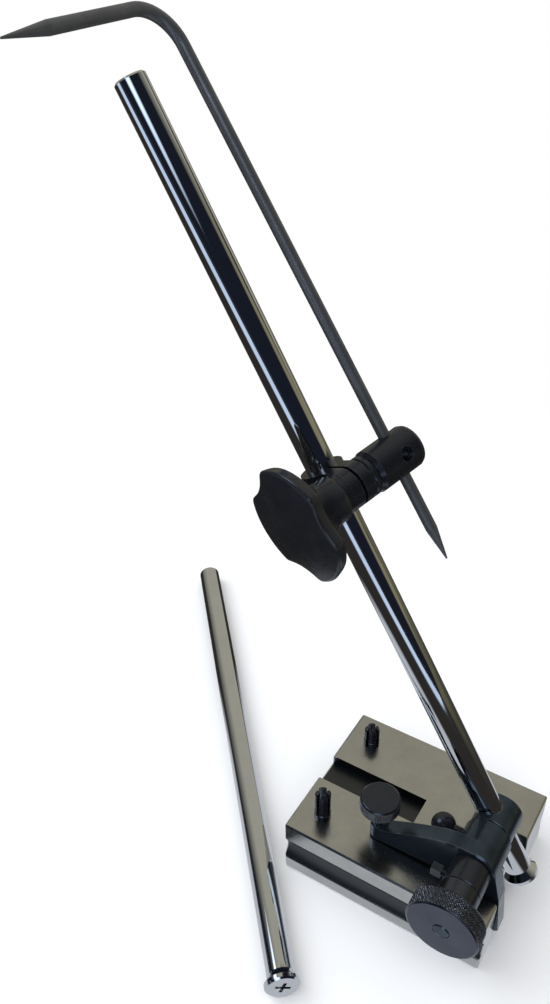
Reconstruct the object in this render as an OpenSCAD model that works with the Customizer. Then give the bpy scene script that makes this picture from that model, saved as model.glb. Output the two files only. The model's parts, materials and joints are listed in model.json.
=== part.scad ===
// Surface gauge: a steel base with a sprung rocker that carries a swivelling
// spindle, a sliding clamp with a three-lobed knob, and a bent scriber.
// A shorter spare spindle lies beside it.
// Origin: centre of the base's underside. +X is the nose end, +Z is up,
// and the knurled clamp nut is on the -Y side. Millimetres.

/* [Base] */
// Length of the base, along X
base_l = 81; // [76:1:90]
// Width of the base, along Y
base_w = 65; // [62:1:72]
// Height of the base
base_h = 25.4; // [24:0.2:27]
// Chamfer on every outer edge of the base
base_edge = 0.7; // [0.3:0.1:1.2]
// Width of the open slot in the nose end
slot_w = 31.8; // [30:0.2:34]
// Distance from the slot's middle to the base's middle, towards the nut side
slot_shift = 5.5; // [4:0.5:6]
// Length of the slot, from the nose end
slot_l = 20.5; // [19.5:0.5:24]
// Width of the channel in the top, behind the slot
channel_w = 12.2; // [8:0.2:14]
// Depth of that channel
channel_d = 4.4; // [3:0.1:8]
// Length of that channel, from the rear end
channel_l = 41.5; // [30:0.5:44]
// Height of the hollow groove along each long side
groove_h = 11.6; // [8:0.2:14]
// Depth of that groove
groove_d = 2.4; // [1.5:0.1:3]
// Height of the groove's middle above the underside
groove_z = 11.5; // [9:0.5:13]

/* [Gauge pins] */
// Diameter of the two sliding gauge pins
pin_d = 6.4; // [5:0.2:8]
// Diameter of the pins' split upper end
pin_top_d = 6.1; // [4:0.1:6.2]
// Length of a gauge pin
pin_l = 33.5; // [30:0.5:34]
// Distance from a pin to the rear end of the base
pin_inset = 10; // [8:0.5:12]
// Distance from a pin to the side of the base
pin_edge = 12; // [11:0.5:14]
// How far the pin on the nut side stands out of the base
pin_near_up = 13.4; // [8:0.1:18]
// How far the pin on the other side stands out
pin_far_up = 9.1; // [8:0.1:18]
// Length of the crossed slots in a pin's top
pin_split_l = 12; // [8:1:20]
// Width of those slots
pin_split_w = 1.6; // [1:0.1:2]

/* [Rocker] */
// Thickness of the rocker plate
plate_t = 6; // [5:0.5:7]
// Distance from the slot's nut-side wall to the rocker plate
plate_gap = 1.4; // [1:0.1:2]
// Height of the rocker's pivot above the underside
pivot_z = 14; // [13:0.5:15]
// Distance from the pivot to the nose end of the base
pivot_inset = 10.5; // [9:0.5:12]
// Diameter of the pivot pin
pivot_d = 5; // [4:0.5:6]
// Height of the swivel axis above the base's top
swivel_up = 10.6; // [10:0.2:13]
// Diameter of the rocker's boss round the swivel bolt
boss_d = 17.4; // [15:0.2:18]
// Length of that boss
boss_l = 16; // [14:0.5:18]
// Distance from the pivot back to the fine adjusting screw
adjust_reach = 38.6; // [36:0.2:42]
// Diameter of the fine adjusting screw
adjust_d = 4; // [3:0.5:4.5]
// Diameter of its knob
adjust_knob_d = 15; // [12:0.5:18]
// Thickness of its knob
adjust_knob_t = 5.6; // [4:0.2:8]
// Height of the underside of that knob above the base
adjust_knob_up = 15.6; // [14:0.2:20]

/* [Swivel head] */
// Diameter of the swivel bolt's head
head_d = 16; // [14:0.5:18]
// Length of that head
head_l = 14; // [13:0.5:16]
// Diameter of the bolt's shank
bolt_d = 6; // [5:0.5:8]
// Diameter of the collar and of the nut's hub
collar_d = 14.4; // [12:0.2:16]
// Length of the collar next to the boss
collar_l = 10; // [8:0.5:12]
// Length of the nut's hub
hub_l = 9; // [6:0.5:12]
// Diameter of the knurled clamp nut
nut_d = 26.6; // [24:0.2:32]
// Length of its knurled part
nut_l = 7.5; // [5:0.5:9]
// Diameter of the ball on the lock screw
ball_d = 9.2; // [7:0.2:11]

/* [Spindles] */
// Diameter of both spindles
spindle_d = 10; // [9:0.1:10.4]
// Length of the long spindle with its end screw
spindle_l = 305; // [280:1:330]
// How much of the long spindle is below the swivel axis
spindle_below = 26.2; // [25:0.2:27]
// How far the long spindle leans back
spindle_tilt = 30.3; // [20:0.1:40]
// Length of the spare spindle with its end screw
spare_l = 229; // [200:1:240]
// Diameter of the end screws' heads
end_d = 13; // [12:0.2:13.6]
// Length of an end screw's head
end_l = 4; // [3:0.2:5]

/* [Sliding clamp] */
// Distance from the swivel axis up the spindle to the sliding clamp
clamp_up = 143.8; // [120:0.2:200]
// Distance from the spindle's axis to the clamp bolt's axis
clamp_offset = 11.9; // [11.6:0.1:14]
// How far the clamp is turned round the spindle
clamp_turn = 20; // [0:1:45]
// Thickness of the split block across its ears
block_t = 8.7; // [8:0.1:10]
// Diameter of its ears, and its height along the spindle
ear_d = 14; // [13:0.2:14.6]
// Outer diameter of its eye round the spindle
eye_d = 14.8; // [14:0.2:16]
// Width of the split in the block
block_slit = 1.2; // [0.6:0.1:2]
// Thickness of the washer under the knob
washer_t = 2.5; // [1:0.1:3]
// Length of the chamfered collar between the block and the barrel
ring_l = 3.2; // [3.2:0.1:5]
// Diameter of the scriber barrel
barrel_d = 14.9; // [14:0.1:16]
// Length of the scriber barrel
barrel_l = 19.3; // [19:0.1:24]
// Distance from the barrel's inner end to the scriber
scriber_in = 11.7; // [9.6:0.1:12]
// Diameter of the spare hole across the barrel
spare_hole_d = 4.9; // [4:0.1:5]

/* [Knob] */
// Diameter over the knob's lobes
knob_d = 40; // [38:1:44]
// Diameter of the knob at its valleys
valley_d = 33.4; // [31:0.2:35]
// Thickness of the knob's rim
rim_t = 6.8; // [6:0.2:9]
// Height of the knob's domed front
dome_h = 2.4; // [1.5:0.1:3.5]
// Length of the knob's neck
neck_l = 11; // [10:0.5:13]
// Diameter of the knob's neck
neck_d = 15.6; // [14:0.2:16]
// How far the lobes are turned from facing the front
knob_turn = 54; // [-60:0.5:60]

/* [Scriber] */
// Diameter of the scriber
scriber_d = 4; // [3.6:0.1:4.4]
// How far the scriber leans from the spindle's direction
scriber_lean = 3.8; // [0:0.1:10]
// Length of the scriber below the clamp
scriber_below = 39.4; // [30:0.1:45]
// Length of the scriber from the clamp up to its bend
scriber_above = 149.7; // [145:0.1:170]
// Length of the bent arm
scriber_arm = 59.9; // [45:0.1:70]
// Radius of the bend, on the scriber's centre line
bend_r = 12.5; // [6:0.5:15]
// How far the bent arm is turned round the scriber
arm_turn = 16.8; // [0:0.1:30]
// Length of the point at the straight end
low_point_l = 11.7; // [8:0.1:16]
// Length of the point at the bent end
arm_point_l = 15.6; // [12:0.1:22]

/* [Fits] */
// Radial clearance of sliding and turning fits
fit = 0.04; // [0.02:0.01:0.08]
// Clearance between faces that turn on each other
face_gap = 0.05; // [0.02:0.01:0.2]

/* [Hidden] */
$fn = 64;
cut = 1;                // extra length of a cutter past the face it opens
point_r = 0.3;          // radius of a blunted point

// Base
nose_x = base_l / 2;
rear_x = -base_l / 2;
slot_wall_x = nose_x - slot_l;
slot_near_y = -slot_shift - slot_w / 2;
groove_r = (pow(groove_h / 2, 2) + pow(groove_d, 2)) / (2 * groove_d);
pin_x = rear_x + pin_inset;
pin_y = base_w / 2 - pin_edge;
pin_shoulder = 2.4;     // height above the base where a pin's top narrows
pin_split_turn = -12.5; // turn of the slots, one prong facing the nut side's front

// Rocker, in the plane of its plate: x forward, z up
plate_y0 = slot_near_y + plate_gap;
plate_y1 = plate_y0 + plate_t;
plate_mid_y = (plate_y0 + plate_y1) / 2;
pivot_x = nose_x - pivot_inset;
swivel_x = pivot_x - 0.9;
swivel_z = base_h + swivel_up;
adjust_x = pivot_x - adjust_reach;
rocker_gap = 0.8;       // rocker's lower edge above the base
rocker_rear_up = 7.3;   // top of the rocker's rear above the base
rocker_eye_top = base_h + rocker_rear_up;
rocker_foot = 6.35;     // rocker's nose below the pivot
// Top edge of the rocker: shares of the way and of the rise, from the screw to the boss
rocker_top = [[0.11, 0], [0.19, 0.13], [0.265, 0.267], [0.37, 0.435], [0.467, 0.59], [0.57, 0.74],
    [0.663, 0.867], [0.74, 0.935], [0.812, 0.975], [0.9, 0.995]];
adjust_gap = 0.15;      // screw's tip to the base
adjust_tip = 1.4;       // chamfer of that tip
adjust_web = 1.1;       // what is left of the knob above the screw
pin_hole_l = 7;         // depth of the pivot pin's hole in the base
clip_t = 1;
clip_d = 8.4;

// Rocker spring and plunger, on a line along X below the pivot
spring_z = pivot_z - 5;
plunger_d = 6.3;
spring_hole_l = 16;
plunger_seat = 8;       // length of the plunger inside its hole
nose_rear_x = pivot_x - 4.5;
plunger_gap = 0.5;      // plunger's tip to the rocker's nose
wire_d = 0.8;
spring_turns = 5;

// Swivel head, along -Y from the boss
boss_y0 = plate_y0;
boss_y1 = plate_y0 + boss_l;
head_y0 = boss_y1 + face_gap;
head_y1 = head_y0 + head_l;
spindle_y = (head_y0 + head_y1) / 2 + 0.1;
collar_y0 = boss_y0 - collar_l;
hub_y0 = collar_y0 - face_gap - hub_l;
nut_y0 = hub_y0 - nut_l;
lug_y = collar_y0 + 3;
bolt_end = 0.3;         // bolt's end proud of the nut
lock_d = 4;
ball_back = 15.7;       // ball's middle behind the swivel axis
lug_d = 2.6;
lug_head = 3.2;         // across the square head
lug_back = 12;          // that head's end behind the swivel axis

// Spindles
end_shank_d = 4;
end_shank_l = 10;
spindle_lip = 0.6;      // chamfer on a spindle's end
cross_l = 5.8;          // cross recess in an end screw
cross_w = 1.3;
cross_t = 1.6;

// Sliding clamp: its own frame has z up the spindle, y along the clamp bolt
// and x from the spindle to the bolt
block_y0 = -block_t / 2;
block_y1 = block_t / 2;
washer_y0 = block_y0 - washer_t;
ring_y1 = block_y1 + ring_l;
barrel_y0 = ring_y1 + face_gap;
barrel_y1 = barrel_y0 + barrel_l;
scriber_y = barrel_y0 + scriber_in;
seat_r = ear_d / 2 + 0.5;
bolt_head_d = 9;
bolt_head_y1 = scriber_y + scriber_d / 2 + 0.6;
knob_y0 = washer_y0 - face_gap;
rim_y0 = knob_y0 - neck_l;
face_y = rim_y0 - rim_t - dome_h;
dome_r = (pow(knob_d / 2, 2) + pow(dome_h, 2)) / (2 * dome_h);
valley_r = 20;          // radius of the valleys between the lobes
scoop_r = 7.6;          // radius of the hollow behind each valley
scoop_w = 14;           // width of that hollow
scoop_out = 16;         // how far its middle is from the knob's axis
insert_d = 10;
insert_l = 12;

// Turns a shape drawn along +Z to lie along +Y
module along_y(y0) translate([0, y0, 0]) rotate([-90, 0, 0]) children();

// Turns a shape drawn along +Z to lie along +X
module along_x(x0) translate([x0, 0, 0]) rotate([0, 90, 0]) children();

// Puts a shape on the swivel axis
module at_swivel() translate([swivel_x, 0, swivel_z]) children();

// Puts a shape on the long spindle, with z up the spindle from the swivel axis
module at_spindle() at_swivel() translate([0, spindle_y, 0]) rotate([0, -spindle_tilt, 0]) children();

// Puts a shape in the sliding clamp's frame
module at_clamp() at_spindle() translate([0, 0, clamp_up]) rotate([0, 0, -clamp_turn]) children();

// Puts a shape on the clamp bolt's axis, drawn along +Z for +Y
module on_clamp_bolt(y0) at_clamp() translate([clamp_offset, y0, 0]) rotate([-90, 0, 0]) children();

// Puts a shape on the scriber, with z up its straight part
module at_scriber() at_clamp() translate([clamp_offset, scriber_y, 0])
    rotate([0, -scriber_lean, 0]) rotate([0, 0, arm_turn]) children();

// Round bar with a chamfer at each end
module bar(d, l, c) {
    rotate_extrude()
        polygon([[0, 0], [d / 2 - c, 0], [d / 2, c], [d / 2, l - c], [d / 2 - c, l], [0, l]]);
}

// Box with its three outlines chamfered
module chamfered_box(size, c) {
    l = size[0] / 2;
    w = size[1] / 2;
    h = size[2];
    intersection() {
        linear_extrude(h) polygon([[-l + c, -w], [l - c, -w], [l, -w + c], [l, w - c],
            [l - c, w], [-l + c, w], [-l, w - c], [-l, -w + c]]);
        translate([0, w, 0]) rotate([90, 0, 0]) linear_extrude(2 * w)
            polygon([[-l + c, 0], [l - c, 0], [l, c], [l, h - c], [l - c, h], [-l + c, h],
                [-l, h - c], [-l, c]]);
        translate([-l, 0, 0]) rotate([90, 0, 90]) linear_extrude(2 * l)
            polygon([[-w + c, 0], [w - c, 0], [w, c], [w, h - c], [w - c, h], [-w + c, h],
                [-w, h - c], [-w, c]]);
    }
}

module base() {
    color("lightslategray")
    difference() {
        chamfered_box([base_l, base_w, base_h], base_edge);
        // Open slot in the nose end
        translate([slot_wall_x, slot_near_y, -cut]) cube([slot_l + cut, slot_w, base_h + 2 * cut]);
        // Channel in the top
        translate([rear_x - cut, -channel_w / 2, base_h - channel_d])
            cube([channel_l + cut, channel_w, channel_d + cut]);
        // Hollow groove along each long side
        for (side = [-1, 1])
            translate([0, side * (base_w / 2 - groove_d + groove_r), groove_z])
                along_x(rear_x - cut) cylinder(h = base_l + 2 * cut, r = groove_r);
        // Gauge pin holes
        for (side = [-1, 1])
            translate([pin_x, side * pin_y, -cut]) cylinder(h = base_h + 2 * cut, d = pin_d + 2 * fit);
        // Pivot pin's hole in the near prong
        translate([pivot_x, 0, pivot_z])
            along_y(slot_near_y - pin_hole_l) cylinder(h = pin_hole_l + cut, d = pivot_d);
        // Spring and plunger hole in the slot's rear wall
        translate([0, plate_mid_y, spring_z])
            along_x(slot_wall_x - spring_hole_l)
                cylinder(h = spring_hole_l + cut, d = plunger_d + 2 * fit);
    }
}

// Gauge pin with a split, rounded top that stands up above the base
module gauge_pin(side, up) {
    top_z = base_h + up;
    bottom_z = top_z - pin_l;
    shoulder_z = base_h + pin_shoulder;
    color([0.12, 0.13, 0.15])
    translate([pin_x, side * pin_y, 0])
    difference() {
        union() {
            translate([0, 0, bottom_z]) bar(pin_d, shoulder_z - bottom_z, 0.4);
            translate([0, 0, shoulder_z - 1]) rotate_extrude()
                polygon([[0, 0], [pin_top_d / 2, 0], [pin_top_d / 2, top_z - shoulder_z - 0.4],
                    [pin_top_d / 2 - 0.5, top_z - shoulder_z + 0.5],
                    [pin_top_d / 2 - 1.4, top_z - shoulder_z + 1], [0, top_z - shoulder_z + 1]]);
        }
        for (turn = [0, 90]) rotate([0, 0, pin_split_turn + turn])
            translate([-pin_d, -pin_split_w / 2, top_z - pin_split_l])
                cube([2 * pin_d, pin_split_w, pin_split_l + cut + 1]);
    }
}

module gauge_pin_near() gauge_pin(-1, pin_near_up);

module gauge_pin_far() gauge_pin(1, pin_far_up);

// Side outline of the rocker plate, x forward and z up
module rocker_outline() {
    low_z = base_h + rocker_gap;
    foot_z = pivot_z - rocker_foot;
    way = swivel_x - adjust_x;
    rise = swivel_z + boss_d / 2 - rocker_eye_top;
    top = [for (p = rocker_top) [adjust_x + p[0] * way, rocker_eye_top + p[1] * rise]];
    polygon(concat(
        [[adjust_x, low_z], [adjust_x, rocker_eye_top]],
        top,
        [[swivel_x, swivel_z + boss_d / 2], [swivel_x + boss_d / 2, swivel_z + 1],
        [nose_x, base_h], [nose_x + 1.7, foot_z + 1], [nose_x + 0.7, foot_z],
        [nose_rear_x + 0.6, foot_z], [nose_rear_x, foot_z + 0.6],
        [nose_rear_x, pivot_z + 3], [nose_rear_x - 1, low_z - 1.5], [slot_wall_x + 1.2, low_z + 0.9]]
    ));
}

module rocker() {
    color("slategray")
    difference() {
        union() {
            translate([0, plate_y1, 0]) rotate([90, 0, 0]) linear_extrude(plate_t) rocker_outline();
            at_swivel() along_y(boss_y0) bar(boss_d, boss_l, 0.6);
            translate([adjust_x, plate_mid_y, base_h + rocker_gap])
                bar(plate_t, rocker_eye_top - base_h - rocker_gap, 0.4);
        }
        // Swivel bolt's hole
        at_swivel() along_y(boss_y0 - cut) cylinder(h = boss_l + 2 * cut, d = bolt_d + 2 * fit);
        // Pivot pin's hole
        translate([pivot_x, 0, pivot_z])
            along_y(plate_y0 - cut) cylinder(h = plate_t + 2 * cut, d = pivot_d + 2 * fit);
        // Fine adjusting screw's hole
        translate([adjust_x, plate_mid_y, base_h])
            cylinder(h = rocker_eye_top, d = adjust_d + 2 * fit);
        // Ball lock screw's hole, into the boss from behind
        translate([swivel_x, ball_y, ball_z])
            along_x(-boss_d) cylinder(h = boss_d, d = lock_d + 2 * fit);
    }
}

module rocker_pivot_pin() {
    color("silver")
    translate([pivot_x, 0, pivot_z])
        along_y(slot_near_y - pin_hole_l)
            bar(pivot_d, plate_y1 + clip_t + 0.6 - slot_near_y + pin_hole_l, 0.3);
}

module pivot_spacer() {
    color("gray")
    translate([pivot_x, 0, pivot_z]) along_y(slot_near_y)
        difference() {
            cylinder(h = plate_gap - face_gap, d = clip_d);
            translate([0, 0, -cut]) cylinder(h = plate_gap + 2 * cut, d = pivot_d);
        }
}

module pivot_retaining_ring() {
    color("gray")
    translate([pivot_x, 0, pivot_z]) along_y(plate_y1 + face_gap)
        difference() {
            cylinder(h = clip_t, d = clip_d);
            translate([0, 0, -cut]) cylinder(h = clip_t + 2 * cut, d = pivot_d);
        }
}

// Points of a ring of the spring's wire at the turn t (0 to spring_turns)
spring_r = plunger_d / 2 - wire_d / 2 - 0.1;
spring_len = spring_hole_l - plunger_seat - wire_d;
spring_steps = 16;
wire_sides = 6;
function spring_centre(t) = [
    spring_r * cos(360 * t), spring_r * sin(360 * t), wire_d / 2 + spring_len * t / spring_turns
];
function wire_point(t, a) = spring_centre(t)
    + wire_d / 2 * (cos(a) * [cos(360 * t), sin(360 * t), 0] + sin(a) * [0, 0, 1]);

module rocker_spring() {
    rings = spring_turns * spring_steps + 1;
    points = [for (i = [0 : rings - 1]) for (k = [0 : wire_sides - 1])
        wire_point(i / spring_steps, 360 * k / wire_sides)];
    sides = [for (i = [0 : rings - 2]) for (k = [0 : wire_sides - 1]) for (half = [0, 1])
        let (k2 = (k + 1) % wire_sides, a = i * wire_sides, b = a + wire_sides)
        half == 0 ? [a + k, b + k, b + k2] : [a + k, b + k2, a + k2]];
    ends = [[for (k = [0 : wire_sides - 1]) k],
        [for (k = [wire_sides - 1 : -1 : 0]) (rings - 1) * wire_sides + k]];
    color("silver")
    translate([0, plate_mid_y, spring_z]) along_x(slot_wall_x - spring_hole_l)
        polyhedron(points, concat(sides, ends), convexity = 10);
}

module spring_plunger() {
    back_x = slot_wall_x - plunger_seat;
    front_x = nose_rear_x - plunger_gap;
    color("silver")
    translate([0, plate_mid_y, spring_z]) along_x(back_x) bar(plunger_d, front_x - back_x, 0.8);
}

module adjusting_screw() {
    color("silver")
    translate([adjust_x, plate_mid_y, base_h + adjust_gap])
        bar(adjust_d, adjust_knob_up + adjust_knob_t - adjust_web - adjust_gap, adjust_tip);
}

module adjusting_knob() {
    color([0.1, 0.1, 0.11])
    translate([adjust_x, plate_mid_y, base_h + adjust_knob_up])
    difference() {
        bar(adjust_knob_d, adjust_knob_t, 0.5);
        translate([0, 0, -cut]) cylinder(h = adjust_knob_t - adjust_web + cut, d = adjust_d);
    }
}

// Ball lock screw: its axis runs along X into the boss
ball_x = swivel_x - ball_back;
ball_y = boss_y1 - 4.5;
ball_z = swivel_z + 0.5;

module ball_lock_screw() {
    color("silver")
    translate([0, ball_y, ball_z]) {
        translate([ball_x, 0, 0]) sphere(d = ball_d);
        along_x(ball_x) cylinder(h = swivel_x - bolt_d / 2 - 0.2 - ball_x, d = lock_d);
    }
}

module swivel_bolt() {
    color([0.15, 0.16, 0.18])
    difference() {
        at_swivel() union() {
            along_y(head_y0) bar(head_d, head_l, 0.8);
            along_y(nut_y0 - bolt_end) bar(bolt_d, head_y0 - nut_y0 + bolt_end + 1, 0.5);
        }
        at_spindle() translate([0, 0, -head_d]) cylinder(h = 2 * head_d, d = spindle_d + 2 * fit);
    }
}

module clamp_collar() {
    color([0.2, 0.21, 0.23])
    at_swivel() difference() {
        along_y(collar_y0) bar(collar_d, collar_l, 0.4);
        along_y(collar_y0 - cut) cylinder(h = collar_l + 2 * cut, d = bolt_d + 2 * fit);
        translate([0, lug_y, 1]) along_x(-collar_d) cylinder(h = collar_d, d = lug_d + 2 * fit);
    }
}

module collar_lock_screw() {
    color([0.2, 0.2, 0.22])
    at_swivel() translate([0, lug_y, 1]) {
        translate([-lug_back, -lug_head / 2, -lug_head / 2]) cube([lug_head + 0.4, lug_head, lug_head]);
        along_x(1 - lug_back) cylinder(h = lug_back - 1.2 - bolt_d / 2, d = lug_d);
    }
}

module clamp_nut() {
    color([0.3, 0.33, 0.37])
    at_swivel() difference() {
        union() {
            along_y(hub_y0 - 0.5) bar(collar_d, hub_l + 0.5, 0.4);
            along_y(nut_y0) bar(nut_d, nut_l, 0.5);
        }
        along_y(nut_y0 - cut) cylinder(h = nut_l + hub_l + 2 * cut, d = bolt_d + 2 * fit);
    }
}

// Spindle with a hole for its end screw at z = 0
module spindle_bar(l) {
    difference() {
        translate([0, 0, face_gap]) bar(spindle_d, l - face_gap, spindle_lip);
        translate([0, 0, -cut]) cylinder(h = end_shank_l + cut, d = end_shank_d + 2 * fit);
    }
}

// Countersunk end screw: its head is below z = 0 and its shank above
module end_screw() {
    rim = end_l * 0.45;
    difference() {
        union() {
            rotate_extrude() polygon([[0, -end_l], [end_d / 2 - 0.6, -end_l], [end_d / 2, -end_l + 0.6],
                [end_d / 2, -rim - 0.3], [end_d / 2 - 0.3, -rim], [spindle_d / 2 - spindle_lip, 0], [0, 0]]);
            cylinder(h = end_shank_l - 0.5, d = end_shank_d);
        }
        for (turn = [0, 90]) rotate([0, 0, turn])
            translate([-cross_l / 2, -cross_w / 2, -end_l - cut]) cube([cross_l, cross_w, cut + cross_t]);
    }
}

module long_spindle() {
    color("gainsboro")
    at_spindle() translate([0, 0, end_l - spindle_below]) spindle_bar(spindle_l - end_l);
}

module long_spindle_end_screw() {
    color("lightgray")
    at_spindle() translate([0, 0, end_l - spindle_below]) rotate([0, 0, 30]) end_screw();
}

// The spare spindle lies on the ground on its head's rim and its far tip
spare_head = [-13.8, -77.2];
spare_heading = 131.7;
spare_drop = asin((end_d - spindle_d) / 2 / (spare_l - end_l));
module at_spare() translate([spare_head[0], spare_head[1], end_d / 2 * cos(spare_drop) + 0.01])
    rotate([0, 0, spare_heading]) rotate([0, 90 + spare_drop, 0]) translate([0, 0, end_l]) children();

module spare_spindle() {
    color("gainsboro")
    at_spare() spindle_bar(spare_l - end_l);
}

module spare_spindle_end_screw() {
    color("lightgray")
    at_spare() rotate([0, 0, 20]) end_screw();
}

module clamp_block() {
    color([0.16, 0.17, 0.19])
    difference() {
        union() {
            at_clamp() translate([0, 0, -ear_d / 2]) cylinder(h = ear_d, d = eye_d);
            at_clamp() translate([0, block_y0, -ear_d / 2]) cube([clamp_offset, block_t, ear_d]);
            on_clamp_bolt(block_y0) cylinder(h = block_t, d = ear_d);
        }
        // Spindle's hole
        at_clamp() translate([0, 0, -ear_d]) cylinder(h = 2 * ear_d, d = spindle_d + 2 * fit);
        // Draw bolt's hole
        on_clamp_bolt(block_y0 - cut) cylinder(h = block_t + 2 * cut, d = bolt_d + 2 * fit);
        // Split between the ears
        at_clamp() translate([spindle_d / 2 - 1, -block_slit / 2, -ear_d])
            cube([clamp_offset + ear_d, block_slit, 2 * ear_d]);
        // Seats for the washer and the ring, turned into the eye
        on_clamp_bolt(block_y0 - eye_d) cylinder(h = eye_d, r = seat_r);
        on_clamp_bolt(block_y1) cylinder(h = eye_d, r = seat_r);
    }
}

// Ring on the clamp bolt from y0, with a chamfer at each end
module bolt_ring(y0, l, d, c) {
    difference() {
        on_clamp_bolt(y0) bar(d, l, c);
        on_clamp_bolt(y0 - cut) cylinder(h = l + 2 * cut, d = bolt_d + 2 * fit);
    }
}

module clamp_washer() {
    color("dimgray") bolt_ring(washer_y0, washer_t, ear_d, 0.3);
}

module clamp_ring() {
    color([0.2, 0.21, 0.23]) bolt_ring(block_y1, ring_l, ear_d, 1);
}

module scriber_barrel() {
    color([0.16, 0.17, 0.19])
    difference() {
        on_clamp_bolt(barrel_y0) rotate_extrude()
            polygon([[0, 0], [barrel_d / 2 - 1.2, 0], [barrel_d / 2, 1.2], [barrel_d / 2, barrel_l - 1.6],
                [barrel_d / 2 - 0.5, barrel_l - 0.5], [barrel_d / 2 - 1.6, barrel_l], [0, barrel_l]]);
        // Draw bolt's bore
        on_clamp_bolt(barrel_y0 - cut)
            cylinder(h = bolt_head_y1 + 0.2 - barrel_y0 + cut, d = bolt_head_d + 2 * fit);
        // Scriber's hole
        at_scriber() translate([0, 0, -barrel_d]) cylinder(h = 2 * barrel_d, d = scriber_d + 2 * fit);
        // Spare hole, square across the scriber's hole
        at_clamp() translate([clamp_offset, scriber_y, 0]) rotate([0, -scriber_lean, 0])
            along_x(-barrel_d) cylinder(h = 2 * barrel_d, d = spare_hole_d);
    }
}

module draw_bolt() {
    head_y0 = barrel_y0 + 1;
    color("gray")
    difference() {
        union() {
            on_clamp_bolt(head_y0) bar(bolt_head_d, bolt_head_y1 - head_y0, 0.3);
            on_clamp_bolt(knob_y0 - insert_l) bar(bolt_d, head_y0 + 1 - knob_y0 + insert_l, 0.5);
        }
        at_scriber() translate([0, 0, -barrel_d]) cylinder(h = 2 * barrel_d, d = scriber_d + 2 * fit);
    }
}

// Knob: a domed head with three valleys, hollowed behind each valley down to the neck
module knob() {
    r = knob_d / 2;
    back_z = dome_h + rim_t;
    end_z = back_z + neck_l;
    color([0.08, 0.08, 0.09])
    on_clamp_bolt(face_y)
    difference() {
        rotate_extrude() polygon(concat(
            [for (k = [0 : 5]) let (x = (r - 0.6) * k / 5) [x, dome_r - sqrt(dome_r * dome_r - x * x)]],
            [[r, dome_h + 0.6], [r - 1, back_z], [r / 2, back_z + 3.7],
            [neck_d / 2, back_z + 5.9], [neck_d / 2, end_z], [0, end_z]]
        ));
        for (turn = [60 : 120 : 300]) rotate([0, 0, knob_turn + turn]) {
            translate([valley_d / 2 + valley_r, 0, -cut]) cylinder(h = back_z + 6, r = valley_r);
            translate([scoop_out, scoop_w / 2, back_z + 4.2]) rotate([90, 0, 0])
                cylinder(h = scoop_w, r = scoop_r);
        }
        translate([0, 0, end_z - insert_l]) cylinder(h = insert_l + cut, d = insert_d);
    }
}

module knob_insert() {
    color("goldenrod")
    difference() {
        on_clamp_bolt(knob_y0 - insert_l) cylinder(h = insert_l, d = insert_d);
        on_clamp_bolt(knob_y0 - insert_l - cut) cylinder(h = insert_l + 2 * cut, d = bolt_d + 2 * fit);
    }
}

module scriber() {
    r = scriber_d / 2;
    color([0.3, 0.31, 0.33])
    at_scriber() {
        translate([0, 0, -scriber_below]) cylinder(h = low_point_l, r1 = point_r, r2 = r);
        translate([0, 0, low_point_l - scriber_below])
            cylinder(h = scriber_above - bend_r + scriber_below - low_point_l, r = r);
        translate([0, -bend_r, scriber_above - bend_r]) rotate([90, 0, 90])
            rotate_extrude(angle = 90) translate([bend_r, 0]) circle(r = r);
        translate([0, -bend_r, scriber_above]) rotate([90, 0, 0])
            cylinder(h = scriber_arm - arm_point_l - bend_r, r = r);
        translate([0, arm_point_l - scriber_arm, scriber_above]) rotate([90, 0, 0])
            cylinder(h = arm_point_l, r1 = r, r2 = point_r);
    }
}

base();
gauge_pin_near();
gauge_pin_far();
rocker();
rocker_pivot_pin();
pivot_spacer();
pivot_retaining_ring();
rocker_spring();
spring_plunger();
adjusting_screw();
adjusting_knob();
ball_lock_screw();
swivel_bolt();
clamp_collar();
collar_lock_screw();
clamp_nut();
long_spindle();
long_spindle_end_screw();
spare_spindle();
spare_spindle_end_screw();
clamp_block();
clamp_washer();
clamp_ring();
scriber_barrel();
draw_bolt();
knob();
knob_insert();
scriber();
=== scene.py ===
# %% [markdown]
# # Surface gauge
# A surface gauge stands on a flat table and carries a scriber at a set height.
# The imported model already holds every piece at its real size. This lesson
# dresses it: it models the knurls and the moulded knob, mixes the metal
# finishes, and lights the whole like a studio photograph.

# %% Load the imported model
import json
import math

import bmesh
import bpy
from mathutils import Matrix, Vector


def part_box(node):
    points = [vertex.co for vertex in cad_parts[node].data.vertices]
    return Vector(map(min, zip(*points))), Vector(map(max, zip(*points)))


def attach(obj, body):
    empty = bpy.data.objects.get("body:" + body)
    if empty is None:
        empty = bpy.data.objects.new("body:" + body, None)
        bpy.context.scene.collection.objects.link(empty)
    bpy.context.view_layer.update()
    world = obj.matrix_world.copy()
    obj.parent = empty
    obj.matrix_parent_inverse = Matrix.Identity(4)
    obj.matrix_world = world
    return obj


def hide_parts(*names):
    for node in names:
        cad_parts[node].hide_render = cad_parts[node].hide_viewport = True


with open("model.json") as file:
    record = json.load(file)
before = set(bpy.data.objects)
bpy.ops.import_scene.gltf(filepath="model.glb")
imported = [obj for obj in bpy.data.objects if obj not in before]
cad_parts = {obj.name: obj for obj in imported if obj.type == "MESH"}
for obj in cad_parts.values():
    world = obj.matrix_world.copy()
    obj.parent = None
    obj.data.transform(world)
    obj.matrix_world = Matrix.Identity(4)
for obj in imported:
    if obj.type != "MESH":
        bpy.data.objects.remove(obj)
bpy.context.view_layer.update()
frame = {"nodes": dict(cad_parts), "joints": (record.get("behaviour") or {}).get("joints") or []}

nodes = frame["nodes"]
joints = {joint["name"]: joint for joint in frame["joints"]}
print(len(nodes), "pieces in the frame")

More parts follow.
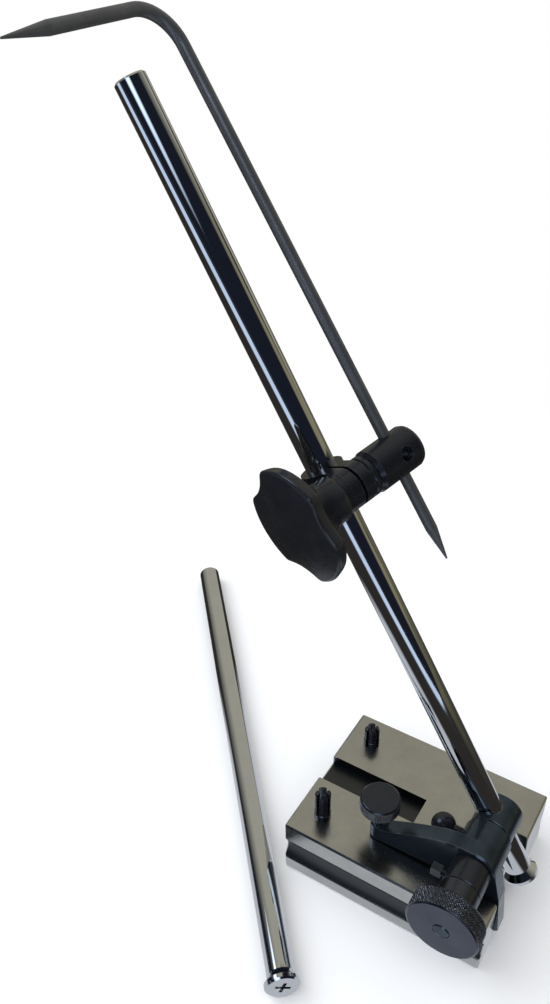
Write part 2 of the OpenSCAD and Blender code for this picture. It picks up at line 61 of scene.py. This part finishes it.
# %% [markdown]
# ## Camera
# The photograph was taken from above the nut side, with the base low in the
# frame. The camera's place and angles are given in real units. The sensor's
# height is fitted to the frame's height, because the picture is upright.

# %% Place the camera
FRAME_W = 550
FRAME_H = 1004
CAMERA_AT = Vector((0.07549, -0.21639, 0.33212))
HEADING = math.radians(122.5065)
LOOK_DOWN = math.radians(35.6203)
ROLL = math.radians(-0.95)
FOCAL_PIXELS = 932.98
SENSOR_H = 36.0
CENTRE_X = 276.24
CENTRE_Y = 503.06


def camera_axes():
    """The camera's right, up and backward directions."""
    ahead = Vector((
        math.cos(LOOK_DOWN) * math.cos(HEADING),
        math.cos(LOOK_DOWN) * math.sin(HEADING),
        -math.sin(LOOK_DOWN),
    ))
    level_right = ahead.cross(Vector((0, 0, 1))).normalized()
    level_up = level_right.cross(ahead)
    right = math.cos(ROLL) * level_right + math.sin(ROLL) * level_up
    up = -math.sin(ROLL) * level_right + math.cos(ROLL) * level_up
    return right, up, -ahead


camera_data = bpy.data.cameras.new("camera")
camera_data.sensor_fit = "VERTICAL"
camera_data.sensor_height = SENSOR_H
camera_data.lens = FOCAL_PIXELS / FRAME_H * SENSOR_H
camera_data.shift_x = (FRAME_W / 2 - CENTRE_X) / FRAME_H
camera_data.shift_y = (CENTRE_Y - FRAME_H / 2) / FRAME_H
camera_data.clip_start = 0.01
camera = bpy.data.objects.new("camera", camera_data)
bpy.context.scene.collection.objects.link(camera)
turn = Matrix(camera_axes()).transposed().to_4x4()
camera.matrix_world = Matrix.Translation(CAMERA_AT) @ turn
bpy.context.scene.camera = camera
print("lens", round(camera_data.lens, 2), "mm")

# %% [markdown]
# ## Shader groups
# Most finishes on this tool share a few effects: grinding marks, a cloudy
# variation in how well a face is polished, and edges rubbed bright by use.
# Each is a node group, built once, so that every metal can take it with its
# own strength.

# %% Helpers for node groups


def new_group(name, inputs, outputs):
    """A shader group with the named sockets; returns it with its two end nodes."""
    group = bpy.data.node_groups.new(name, "ShaderNodeTree")
    for socket_name, socket_type, value in inputs:
        socket = group.interface.new_socket(socket_name, in_out="INPUT", socket_type=socket_type)
        if value is not None:
            socket.default_value = value
    for socket_name, socket_type in outputs:
        group.interface.new_socket(socket_name, in_out="OUTPUT", socket_type=socket_type)
    return group, group.nodes.new("NodeGroupInput"), group.nodes.new("NodeGroupOutput")


def math_node(tree, operation, first, second=None, clamp=False):
    """A Math node fed by sockets or numbers; returns its output."""
    node = tree.nodes.new("ShaderNodeMath")
    node.operation = operation
    node.use_clamp = clamp
    for place, value in enumerate((first, second)):
        if value is None:
            continue
        if isinstance(value, (int, float)):
            node.inputs[place].default_value = value
        else:
            tree.links.new(value, node.inputs[place])
    return node.outputs[0]


def mapped(tree, vector, stretch, turn=(0, 0, 0)):
    """The vector scaled by stretch after a turn, for patterns longer one way than another."""
    node = tree.nodes.new("ShaderNodeMapping")
    node.inputs["Scale"].default_value = stretch
    node.inputs["Rotation"].default_value = turn
    tree.links.new(vector, node.inputs["Vector"])
    return node.outputs[0]


def noise(tree, vector, scale, detail=4.0, roughness=0.6):
    """A Noise texture's value."""
    node = tree.nodes.new("ShaderNodeTexNoise")
    node.inputs["Scale"].default_value = scale
    node.inputs["Detail"].default_value = detail
    node.inputs["Roughness"].default_value = roughness
    tree.links.new(vector, node.inputs["Vector"])
    return node.outputs["Fac"]


def remap(tree, value, from_low, from_high, to_low, to_high):
    """The value moved from one range to another, held inside it."""
    node = tree.nodes.new("ShaderNodeMapRange")
    for name, number in (
        ("From Min", from_low), ("From Max", from_high), ("To Min", to_low), ("To Max", to_high),
    ):
        node.inputs[name].default_value = number
    tree.links.new(value, node.inputs["Value"])
    return node.outputs["Result"]


print("helpers ready")

# %% [markdown]
# Grinding leaves fine parallel lines. A noise squeezed hard across the stroke
# and stretched along it gives them, in two sizes: the wheel's own fine lines
# and a few deeper ones. The group takes a vector that is already turned, so
# that one group serves faces ground along X, Y or Z.

# %% Grinding marks
grinding, g_in, g_out = new_group(
    "grinding marks",
    [("Vector", "NodeSocketVector", None)],
    [("Height", "NodeSocketFloat"), ("Gloss", "NodeSocketFloat")],
)
fine_lines = noise(grinding, mapped(grinding, g_in.outputs["Vector"], (60, 4200, 4200)), 1.0, 3.0)
deep_lines = noise(grinding, mapped(grinding, g_in.outputs["Vector"], (14, 900, 900)), 1.0, 5.0, 0.7)
deep_only = remap(grinding, deep_lines, 0.52, 0.7, 0.0, 1.0)
height = math_node(grinding, "ADD", math_node(grinding, "MULTIPLY", fine_lines, 0.35), deep_only)
grinding.links.new(height, g_out.inputs["Height"])
grinding.links.new(remap(grinding, fine_lines, 0.3, 0.7, 0.0, 1.0), g_out.inputs["Gloss"])
print("grinding marks:", len(grinding.nodes), "nodes")

# %% [markdown]
# Handled steel is never evenly clean. Slow clouds of noise stand for oil and
# finger marks, and they only change the roughness a little.

# %% Handling marks
handling, h_in, h_out = new_group(
    "handling marks",
    [("Vector", "NodeSocketVector", None)],
    [("Cloud", "NodeSocketFloat"), ("Specks", "NodeSocketFloat")],
)
cloud = noise(handling, h_in.outputs["Vector"], 90.0, 5.0, 0.65)
specks = noise(handling, h_in.outputs["Vector"], 2600.0, 2.0, 0.5)
handling.links.new(remap(handling, cloud, 0.35, 0.68, 0.0, 1.0), h_out.inputs["Cloud"])
handling.links.new(remap(handling, specks, 0.62, 0.72, 0.0, 1.0), h_out.inputs["Specks"])
print("handling marks:", len(handling.nodes), "nodes")

# %% [markdown]
# Edges lose their dark finish first. A Bevel node rounds the normal near an
# edge, so where that rounded normal leaves the true one there is an edge.

# %% Rubbed edges
edges_group, e_in, e_out = new_group(
    "rubbed edges",
    [("Vector", "NodeSocketVector", None)],
    [("Edge", "NodeSocketFloat")],
)
bevel = edges_group.nodes.new("ShaderNodeBevel")
bevel.samples = 6
bevel.inputs["Radius"].default_value = 0.00035
true_normal = edges_group.nodes.new("ShaderNodeNewGeometry")
agree = edges_group.nodes.new("ShaderNodeVectorMath")
agree.operation = "DOT_PRODUCT"
edges_group.links.new(bevel.outputs["Normal"], agree.inputs[0])
edges_group.links.new(true_normal.outputs["Normal"], agree.inputs[1])
near_edge = remap(edges_group, agree.outputs["Value"], 0.995, 0.86, 0.0, 1.0)
patchy = remap(edges_group, noise(edges_group, e_in.outputs["Vector"], 700.0, 4.0), 0.35, 0.6, 0.15, 1.0)
edges_group.links.new(math_node(edges_group, "MULTIPLY", near_edge, patchy), e_out.inputs["Edge"])
print("rubbed edges:", len(edges_group.nodes), "nodes")

# %% [markdown]
# ## Metal finishes
# All the metals here differ in three things: how much they reflect, how
# sharply, and what wear shows. One function builds them, and each finish is a
# call with its own values.

# %% A worn metal


def place_group(tree, group, vector):
    """The group placed in a material's tree, reading that vector."""
    node = tree.nodes.new("ShaderNodeGroup")
    node.node_tree = group
    tree.links.new(vector, node.inputs["Vector"])
    return node


def mixed(tree, factor, first, second):
    """Two colours, or a colour socket and a colour, mixed by factor."""
    node = tree.nodes.new("ShaderNodeMix")
    node.data_type = "RGBA"
    tree.links.new(factor, node.inputs["Factor"])
    for socket, value in ((node.inputs[6], first), (node.inputs[7], second)):
        if isinstance(value, tuple):
            socket.default_value = (*value, 1.0)
        else:
            tree.links.new(value, socket)
    return node.outputs[2]


def metal(name, colour, worn, gloss, rough, line_turn=(0, 0, 0), lines=0.0, cloud=0.06, metallic=1.0):
    """A metal with grinding marks, handling marks and rubbed edges.

    gloss and rough are the lowest and highest roughness; lines is the depth of
    the grinding marks in metres.
    """
    material = bpy.data.materials.new(name)
    material.use_nodes = True
    tree = material.node_tree
    shader = tree.nodes["Principled BSDF"]
    shader.inputs["Metallic"].default_value = metallic
    place = tree.nodes.new("ShaderNodeTexCoord").outputs["Object"]
    marks = place_group(tree, handling, place)
    rubbed = place_group(tree, edges_group, place)
    turned_place = mapped(tree, place, (1, 1, 1), line_turn)
    ground = place_group(tree, grinding, turned_place)
    dull = tuple(channel * (1 - cloud * 2) for channel in colour)
    clean = mixed(tree, marks.outputs["Cloud"], colour, dull)
    tree.links.new(mixed(tree, rubbed.outputs["Edge"], clean, worn), shader.inputs["Base Color"])
    shine = math_node(tree, "ADD", math_node(tree, "MULTIPLY", ground.outputs["Gloss"], 0.5),
                      math_node(tree, "MULTIPLY", marks.outputs["Cloud"], 0.5))
    tree.links.new(remap(tree, shine, 0.0, 1.0, gloss, rough), shader.inputs["Roughness"])
    if lines > 0:
        bump = tree.nodes.new("ShaderNodeBump")
        bump.inputs["Strength"].default_value = 1.0
        bump.inputs["Distance"].default_value = lines
        tree.links.new(ground.outputs["Height"], bump.inputs["Height"])
        tree.links.new(bump.outputs["Normal"], shader.inputs["Normal"])
    return material


chrome = metal("polished chrome", (0.66, 0.67, 0.69), (0.7, 0.7, 0.7), 0.03, 0.07, cloud=0.03)
bare_steel = metal("turned steel", (0.42, 0.42, 0.42), (0.55, 0.55, 0.55), 0.22, 0.38, lines=2e-6)
black_oxide = metal("black oxide", (0.045, 0.05, 0.062), (0.2, 0.205, 0.22), 0.17, 0.32, metallic=0.85)
blued = metal("blue-black polished steel", (0.055, 0.075, 0.1), (0.3, 0.31, 0.33), 0.14, 0.32,
              cloud=0.2, metallic=0.85)
nut_black = metal("blue-grey turned face", (0.09, 0.097, 0.125), (0.35, 0.35, 0.37), 0.24, 0.36)
scriber_steel = metal("hardened scriber steel", (0.15, 0.158, 0.17), (0.25, 0.25, 0.26), 0.3, 0.46,
                      cloud=0.12, metallic=0.75)
brass = metal("turned brass", (0.62, 0.44, 0.16), (0.75, 0.6, 0.3), 0.2, 0.35)
metals = (chrome, bare_steel, black_oxide, blued, nut_black, scriber_steel, brass)
print("metals:", [finish.name for finish in metals])

# %% [markdown]
# ## The base's steel
# The base is bright where the grinding wheel reached: its top, ends, sides and
# underside. It is darker and rougher in the milled channel, slot and hollow side
# grooves. The outer faces are found from the object coordinates, because a
# ground face lies exactly on the base's box.

# %% Base steel, bright outside and dark in the cuts
base_low, base_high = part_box("base")
SKIN = 0.0004


def base_steel():
    """Ground steel on the base's outer faces, darker and rougher in its cuts."""
    material = metal("ground base steel", (0.52, 0.515, 0.5), (0.62, 0.62, 0.62), 0.16, 0.3,
                     lines=1.2e-6)
    tree = material.node_tree
    shader = tree.nodes["Principled BSDF"]
    place = tree.nodes.new("ShaderNodeTexCoord").outputs["Object"]
    split = tree.nodes.new("ShaderNodeSeparateXYZ")
    tree.links.new(place, split.inputs[0])
    outer = None
    for axis in range(3):
        over = math_node(tree, "GREATER_THAN", split.outputs[axis], base_high[axis] - SKIN)
        under = math_node(tree, "LESS_THAN", split.outputs[axis], base_low[axis] + SKIN)
        either = math_node(tree, "MAXIMUM", over, under)
        outer = either if outer is None else math_node(tree, "MAXIMUM", outer, either)
    # every face off the base's box takes a darker colour and a rougher finish
    for socket_name, cut_value in (("Base Color", (0.075, 0.078, 0.082)), ("Roughness", 0.36)):
        socket = shader.inputs[socket_name]
        source = socket.links[0].from_socket
        if socket_name == "Base Color":
            result = mixed(tree, outer, cut_value, source)
        else:
            node = tree.nodes.new("ShaderNodeMix")
            tree.links.new(outer, node.inputs["Factor"])
            node.inputs[2].default_value = cut_value
            tree.links.new(source, node.inputs[3])
            result = node.outputs[0]
        tree.links.new(result, socket)
    return material


ground_steel = base_steel()
print("base steel:", len(ground_steel.node_tree.nodes), "nodes")

# %% [markdown]
# ## Moulded knob plastic
# The knob is black moulded plastic with a soft gloss. Fine specks in the
# roughness and a faint orange-peel bump keep its highlights from looking like
# glass.

# %% Knob plastic


def knob_plastic():
    """Glossy black plastic with a slight orange peel."""
    material = bpy.data.materials.new("black moulded plastic")
    material.use_nodes = True
    tree = material.node_tree
    shader = tree.nodes["Principled BSDF"]
    place = tree.nodes.new("ShaderNodeTexCoord").outputs["Object"]
    marks = place_group(tree, handling, place)
    tree.links.new(mixed(tree, marks.outputs["Cloud"], (0.006, 0.0075, 0.01), (0.011, 0.012, 0.015)),
                   shader.inputs["Base Color"])
    tree.links.new(remap(tree, marks.outputs["Cloud"], 0.0, 1.0, 0.2, 0.3), shader.inputs["Roughness"])
    peel = noise(tree, place, 420.0, 2.0, 0.5)
    bump = tree.nodes.new("ShaderNodeBump")
    bump.inputs["Strength"].default_value = 0.6
    bump.inputs["Distance"].default_value = 0.00012
    tree.links.new(peel, bump.inputs["Height"])
    tree.links.new(bump.outputs["Normal"], shader.inputs["Normal"])
    return material


plastic = knob_plastic()
print("plastic ready")

# %% [markdown]
# ## Turned and knurled pieces
# A turned piece is a stack of rings. Each ring starts as the last one,
# extruded, and its points are then set to the radius that the lathe would
# leave there. A knurl or a lobe only makes that radius change round the ring.

# %% Stack of rings


def ring_stack(name, rings, segments, place, sharp_degrees=32):
    """A closed piece from rings of (height, radius), where radius may be a function of the angle."""
    bm = bmesh.new()
    ring_points = bmesh.ops.create_circle(bm, cap_ends=True, radius=1.0, segments=segments)["verts"]
    ring_edges = list({edge for point in ring_points for edge in point.link_edges})
    angles = {point: math.atan2(point.co.y, point.co.x) for point in ring_points}
    for index, (height, radius) in enumerate(rings):
        if index:
            made = bmesh.ops.extrude_edge_only(bm, edges=ring_edges)["geom"]
            ring_points = [item for item in made if isinstance(item, bmesh.types.BMVert)]
            ring_edges = [item for item in made if isinstance(item, bmesh.types.BMEdge)]
            angles = {point: math.atan2(point.co.y, point.co.x) for point in ring_points}
        for point in ring_points:
            angle = angles[point]
            r = radius(angle) if callable(radius) else radius
            point.co = (r * math.cos(angle), r * math.sin(angle), height)
    bmesh.ops.holes_fill(bm, edges=[edge for edge in bm.edges if edge.is_boundary])
    bmesh.ops.recalc_face_normals(bm, faces=bm.faces)
    bmesh.ops.transform(bm, matrix=place, verts=bm.verts)
    mesh = bpy.data.meshes.new(name)
    bm.to_mesh(mesh)
    bm.free()
    mesh.shade_smooth()
    mesh.set_sharp_from_angle(angle=math.radians(sharp_degrees))
    piece = bpy.data.objects.new(name, mesh)
    bpy.context.scene.collection.objects.link(piece)
    print(name, len(mesh.polygons), "faces")
    return piece


def stand_on(origin, along, across):
    """A matrix that puts a piece's Z along one direction and its X near another."""
    z = Vector(along).normalized()
    x = (Vector(across) - Vector(across).dot(z) * z).normalized()
    turned_axes = Matrix((x, z.cross(x), z)).transposed().to_4x4()
    return Matrix.Translation(Vector(origin)) @ turned_axes


# %% [markdown]
# ## Knurled clamp nut
# The nut that locks the swivel has a diamond knurl rolled into its rim and a
# smooth turned face. The knurl is real geometry: two sets of grooves cross at
# an angle, and the radius at a point is lowest where either set passes.

# %% Clamp nut
nut_low, nut_high = (Vector(corner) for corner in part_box("clamp_nut"))
nut_axis = Vector(joints["nut_turn"]["axis"])
nut_centre = (nut_low + nut_high) / 2
NUT_R = (nut_high.x - nut_low.x) / 2
NUT_L = 0.0075
NUT_CHAMFER = 0.0005
HUB_R = 0.0072
BOLT_R = 0.00304
KNURL_ROWS = 28
KNURL_SEGMENTS = 448
KNURL_PITCH = 0.00105
KNURL_DEPTH = 0.00042


def saw(value):
    """0 at whole even numbers, 1 at whole odd ones, straight between."""
    return abs((value + 1) % 2 - 1)


def knurl_radius(height, outer, pitch, depth):
    """Radius of a diamond knurl at that height, as a function of the angle."""
    teeth = round(2 * math.pi * outer / pitch)

    def at(angle):
        around = angle / (2 * math.pi) * teeth * 2
        up = height / pitch * 2
        groove = max(saw(around + up), saw(around - up))
        return outer - depth * groove

    return at


def nut_rings():
    """The nut's rings from its outer face to the end of its hub."""
    hub_end = nut_high.y - nut_low.y
    rings = [(0.0012, BOLT_R), (0.0002, BOLT_R), (0.0, BOLT_R + 0.0002),
             (0.0, NUT_R - 0.0016), (0.0, NUT_R - NUT_CHAMFER - 0.0004),
             (0.0003, NUT_R - NUT_CHAMFER), (NUT_CHAMFER, NUT_R - KNURL_DEPTH * 0.6)]
    for row in range(KNURL_ROWS + 1):
        at = NUT_CHAMFER + (NUT_L - 2 * NUT_CHAMFER) * row / KNURL_ROWS
        rings.append((at, knurl_radius(at, NUT_R, KNURL_PITCH, KNURL_DEPTH)))
    rings += [(NUT_L - NUT_CHAMFER, NUT_R - KNURL_DEPTH * 0.6), (NUT_L - 0.0001, NUT_R - NUT_CHAMFER),
              (NUT_L, NUT_R - NUT_CHAMFER - 0.0003), (NUT_L, HUB_R + 0.0004), (NUT_L + 0.0003, HUB_R),
              (hub_end - 0.0003, HUB_R), (hub_end, HUB_R - 0.0004), (hub_end, BOLT_R)]
    return rings


nut_place = stand_on((nut_centre.x, nut_low.y, nut_centre.z), -nut_axis, (1, 0, 0))
clamp_nut = ring_stack("clamp_nut_knurled", nut_rings(), KNURL_SEGMENTS, nut_place, 20)
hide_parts("clamp_nut")
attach(clamp_nut, "nut")
clamp_nut.data.materials.append(nut_black)

# %% [markdown]
# ## Fine adjusting knob
# The little knob that tips the rocker has a straight, very fine knurl and a
# flat top with a turned bevel that catches the light.

# %% Adjusting knob
small_low, small_high = (Vector(corner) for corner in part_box("adjusting_knob"))
small_centre = (small_low + small_high) / 2
SMALL_R = (small_high.x - small_low.x) / 2
SMALL_T = small_high.z - small_low.z
SMALL_TEETH = 84


def fine_knurl(angle):
    """Radius of the small knob's straight knurl."""
    return SMALL_R - 0.00016 * saw(angle / (2 * math.pi) * SMALL_TEETH * 2)


small_rings = [
    (0.0, 0.002), (0.0, SMALL_R - 0.0006), (0.0005, SMALL_R - 0.00016), (0.0006, fine_knurl),
    (SMALL_T - 0.0007, fine_knurl), (SMALL_T - 0.0006, SMALL_R - 0.00016),
    (SMALL_T - 0.0001, SMALL_R - 0.0006), (SMALL_T, SMALL_R - 0.0008), (SMALL_T, 0.0004),
]
small_place = stand_on((small_centre.x, small_centre.y, small_low.z), (0, 0, 1), (1, 0, 0))
small_knob = ring_stack("adjusting_knob_knurled", small_rings, SMALL_TEETH * 4, small_place, 20)
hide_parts("adjusting_knob")
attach(small_knob, "fine_screw")
small_knob.data.materials.append(black_oxide)

# %% [markdown]
# ## Three-lobed knob
# The knob is one moulding: a round neck that flares into a wide head with
# three lobes, shallow valleys between them and a domed front. Behind each
# valley the head is hollowed down to the neck, so that a finger can reach
# round it. Each ring blends from the neck's circle to the lobed outline, and
# it reaches that outline later in the valleys than on the lobes.

# %% Clamp knob
clamp_axis = Vector(joints["barrel_turn"]["axis"]).normalized()
spindle_axis = Vector(joints["clamp_slide"]["axis"]).normalized()
front = clamp_axis.cross(spindle_axis)
bolt_point = Vector(joints["barrel_turn"]["pos_m"])
KNOB_START = 0.0069
NECK_L = 0.011
RIM_T = 0.0068
DOME_H = 0.0023
NECK_R = 0.0078
LOBE_R = 0.0199
VALLEY_R = 0.0167
VALLEY_CURVE = 0.020
EDGE_SOFT = 0.00045
FLARE_STEPS = 18
EDGE_STEPS = 8
EDGE_BACK = 0.0012
DOME_STEPS = 12
DOME_SIZE = 0.944
KNOB_TURN = math.radians(-54)


def valley_share(angle):
    """0 in the middle of a lobe, 1 in the middle of a valley."""
    return 0.5 - 0.5 * math.cos(3 * (angle - KNOB_TURN))


def lobed(angle):
    """Radius of the knob's outline: three lobes with a round valley between each two."""
    off = (angle - KNOB_TURN) % (2 * math.pi / 3) - math.pi / 3
    far = VALLEY_R + VALLEY_CURVE
    inside = VALLEY_CURVE ** 2 - (far * math.sin(off)) ** 2
    valley = far * math.cos(off) - math.sqrt(inside) if inside > 0 else 1.0
    near = math.exp(-LOBE_R / EDGE_SOFT) + math.exp(-min(valley, 0.05) / EDGE_SOFT)
    return -EDGE_SOFT * math.log(near)


def outline_ring(scale):
    """The lobed outline at that share of its size."""
    return lambda angle: lobed(angle) * scale


def flare_ring(share):
    """Outline between the neck and the head's back, later in the valleys."""
    def at(angle):
        hollow = valley_share(angle)
        blend = share ** (1.1 + 5.0 * hollow)
        return NECK_R + (lobed(angle) * 0.955 - NECK_R) * blend
    return at


def knob_rings():
    """The knob's rings from the washer to the middle of its face."""
    rings = [(0.0, NECK_R - 0.0008), (0.0002, NECK_R - 0.0002), (0.0008, NECK_R), (0.0045, NECK_R)]
    flare_start = 0.0052
    flare_end = NECK_L + RIM_T * 0.42
    for step in range(1, FLARE_STEPS + 1):
        share = step / FLARE_STEPS
        rings.append((flare_start + (flare_end - flare_start) * share ** 0.8, flare_ring(share)))
    front_edge = NECK_L + RIM_T
    rings.append((flare_end + 0.0006, outline_ring(0.968)))
    rings.append((front_edge - 0.0022, outline_ring(0.985)))
    rings.append((front_edge - EDGE_BACK, outline_ring(0.996)))
    for step in range(1, EDGE_STEPS + 1):
        arc = math.radians(84) * step / EDGE_STEPS
        rings.append((front_edge - EDGE_BACK + 0.0013 * math.sin(arc),
                      outline_ring(1.0 - 0.062 * (1 - math.cos(arc)))))
    dome_from = front_edge + 0.0001
    for step in range(1, DOME_STEPS):
        size = DOME_SIZE * (1 - step / DOME_STEPS)
        rise = (DOME_H - 0.0001) * (1 - (size / DOME_SIZE) ** 2)
        rings.append((dome_from + rise, outline_ring(size)))
    rings.append((dome_from + DOME_H - 0.0001, outline_ring(0.004)))
    return rings


knob_origin = bolt_point - clamp_axis * KNOB_START
knob_place = stand_on(knob_origin, -clamp_axis, front)
knob = ring_stack("clamp_knob_moulded", knob_rings(), 192, knob_place, 70)
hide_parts("knob")
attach(knob, "clamp_knob")
knob.data.materials.append(plastic)

# %% [markdown]
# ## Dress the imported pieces
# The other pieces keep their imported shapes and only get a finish.

# %% Give each piece its finish
FINISHES = {
    "base": ground_steel,
    "gauge_pin_near": black_oxide,
    "gauge_pin_far": black_oxide,
    "rocker": blued,
    "rocker_pivot_pin": bare_steel,
    "pivot_spacer": bare_steel,
    "pivot_retaining_ring": black_oxide,
    "rocker_spring": bare_steel,
    "spring_plunger": bare_steel,
    "adjusting_screw": bare_steel,
    "ball_lock_screw": black_oxide,
    "swivel_bolt": blued,
    "clamp_collar": black_oxide,
    "collar_lock_screw": black_oxide,
    "long_spindle": chrome,
    "long_spindle_end_screw": chrome,
    "spare_spindle": chrome,
    "spare_spindle_end_screw": chrome,
    "clamp_block": black_oxide,
    "clamp_washer": black_oxide,
    "clamp_ring": black_oxide,
    "scriber_barrel": black_oxide,
    "draw_bolt": bare_steel,
    "knob_insert": brass,
    "scriber": scriber_steel,
}
for node_name, finish in FINISHES.items():
    piece = nodes[node_name]
    piece.data.materials.clear()
    piece.data.materials.append(finish)
print("dressed", len(FINISHES), "packed pieces")

# %% [markdown]
# ## Floor and light
# The floor is a plain pale sheet that fades to white away from the gauge. The
# world is white to the camera, an even grey to everything matt, and a simple
# room to polished metal: dark on the photographer's side, a dim olive wall
# behind, and a bright window. To polished metal the floor glows with a painted
# reflection instead of its own shading: a grey-white sheet round the base, then
# a dark table, and a glowing blue-white strip far out on the photographer's
# side that stands in for a window's reflection. Chrome looks like chrome only
# when it has something dark to reflect.

# %% Floor
# where the painted reflection changes: the grey-white sheet's radius, the camera's fade to white, and
# the two edges of the glowing window strip
SHEET_R = 0.10
FADE_FROM = 0.16
FADE_TO = 0.42
PAINTED_STRIP_Y = -0.42
PAINTED_STRIP_END = -1.3


def floor_material():
    """Near-white floor that keeps its shadow; polished metal sees a painted reflection instead: a dark
    tabletop round a white sheet, and a glowing window strip.
    """
    material = bpy.data.materials.new("floor")
    material.use_nodes = True
    tree = material.node_tree
    shader = tree.nodes["Principled BSDF"]
    shader.inputs["Base Color"].default_value = (0.9, 0.9, 0.9, 1.0)
    shader.inputs["Roughness"].default_value = 0.9
    shader.inputs["Specular IOR Level"].default_value = 0.1
    place = tree.nodes.new("ShaderNodeTexCoord").outputs["Object"]
    split = tree.nodes.new("ShaderNodeSeparateXYZ")
    tree.links.new(place, split.inputs[0])
    length = tree.nodes.new("ShaderNodeVectorMath")
    length.operation = "LENGTH"
    tree.links.new(place, length.inputs[0])
    away = length.outputs["Value"]
    # painted reflection for polished metal: a dark table turning olive towards the back, a glowing
    # blue-white strip standing in for a window, dark beyond it, and a grey-white sheet round the base
    painted_reflection = mixed(tree, remap(tree, split.outputs["Y"], 0.1, 0.5, 0.0, 1.0),
                  (0.035, 0.032, 0.03), (0.15, 0.14, 0.09))
    painted_reflection = mixed(tree, remap(tree, split.outputs["Y"], PAINTED_STRIP_Y, PAINTED_STRIP_Y - 0.1, 0.0, 1.0),
                  painted_reflection, (0.75, 0.9, 1.15))
    painted_reflection = mixed(tree, remap(tree, split.outputs["Y"], PAINTED_STRIP_END, PAINTED_STRIP_END - 0.2, 0.0, 1.0),
                  painted_reflection, (0.03, 0.035, 0.05))
    painted_reflection = mixed(tree, remap(tree, away, SHEET_R + 0.03, SHEET_R, 0.0, 1.0), painted_reflection, (0.62, 0.65, 0.7))
    paths = tree.nodes.new("ShaderNodeLightPath")
    far_white = tree.nodes.new("ShaderNodeEmission")
    far_white.inputs["Color"].default_value = (1.0, 1.0, 1.0, 1.0)
    # glossy rays see the painted reflection as a glow, not the floor's own lit shade
    reflected = tree.nodes.new("ShaderNodeEmission")
    tree.links.new(painted_reflection, reflected.inputs["Color"])
    far = remap(tree, away, FADE_FROM, FADE_TO, 0.0, 1.0)
    fade = math_node(tree, "MULTIPLY", far, paths.outputs["Is Camera Ray"])
    out = tree.nodes["Material Output"]
    source = shader.outputs[0]
    for factor, other in ((fade, far_white), (paths.outputs["Is Glossy Ray"], reflected)):
        mix = tree.nodes.new("ShaderNodeMixShader")
        tree.links.new(factor, mix.inputs[0])
        tree.links.new(source, mix.inputs[1])
        tree.links.new(other.outputs[0], mix.inputs[2])
        source = mix.outputs[0]
    tree.links.new(source, out.inputs["Surface"])
    return material


floor_bm = bmesh.new()
bmesh.ops.create_grid(floor_bm, x_segments=1, y_segments=1, size=6.0)
floor_mesh = bpy.data.meshes.new("floor")
floor_bm.to_mesh(floor_mesh)
floor_bm.free()
floor = bpy.data.objects.new("floor", floor_mesh)
floor.location.z = -0.0002
floor_mesh.materials.append(floor_material())
bpy.context.scene.collection.objects.link(floor)
print("floor laid")

# %% Room that the metal reflects


def toward(tree, direction, heading, height, spread_low, spread_high):
    """1 where the direction points at that heading and height, fading to 0 between two cosines."""
    node = tree.nodes.new("ShaderNodeVectorMath")
    node.operation = "DOT_PRODUCT"
    tree.links.new(direction, node.inputs[0])
    turn = math.radians(heading)
    lift = math.radians(height)
    node.inputs[1].default_value = (
        math.cos(lift) * math.cos(turn), math.cos(lift) * math.sin(turn), math.sin(lift))
    return remap(tree, node.outputs["Value"], spread_low, spread_high, 0.0, 1.0)


world = bpy.data.worlds.new("studio")
bpy.context.scene.world = world
world.use_nodes = True
sky = world.node_tree
background = sky.nodes["Background"]
direction = sky.nodes.new("ShaderNodeTexCoord").outputs["Generated"]
back_wall = toward(sky, direction, 110, 25, 0.25, 0.75)
room = mixed(sky, back_wall, (0.012, 0.015, 0.025), (0.45, 0.435, 0.36))
room = mixed(sky, toward(sky, direction, 42, 5, 0.9, 0.96), room, (0.3, 0.27, 0.17))
room = mixed(sky, toward(sky, direction, 200, 48, 0.955, 0.975), room, (2.2, 2.6, 3.2))
room = mixed(sky, toward(sky, direction, -74, 31, 0.945, 0.985), room, (1.5, 1.8, 2.2))
paths = sky.nodes.new("ShaderNodeLightPath")
seen = mixed(sky, paths.outputs["Is Diffuse Ray"], room, (0.78, 0.79, 0.81))
seen = mixed(sky, paths.outputs["Is Camera Ray"], seen, (1.0, 1.0, 1.0))
sky.links.new(seen, background.inputs["Color"])
background.inputs["Strength"].default_value = 1.0
print("room painted")

# %% Soft lamps


def soft_lamp(name, heading, height, distance, size, power):
    """A square area lamp aimed at the gauge's middle."""
    lamp = bpy.data.lights.new(name, "AREA")
    lamp.size = size
    lamp.energy = power
    holder = bpy.data.objects.new(name, lamp)
    turn = math.radians(heading)
    lift = math.radians(height)
    middle = Vector((-0.03, 0.0, 0.1))
    offset = Vector((math.cos(lift) * math.cos(turn), math.cos(lift) * math.sin(turn), math.sin(lift)))
    holder.location = middle + offset * distance
    holder.rotation_euler = offset.to_track_quat("Z", "Y").to_euler()
    holder.visible_glossy = False
    bpy.context.scene.collection.objects.link(holder)
    return holder


soft_lamp("window", 200, 50, 1.4, 1.2, 9.0)
soft_lamp("fill", -60, 60, 1.4, 1.4, 5.0)
bpy.context.scene.view_settings.view_transform = "Standard"
print("lamps placed")
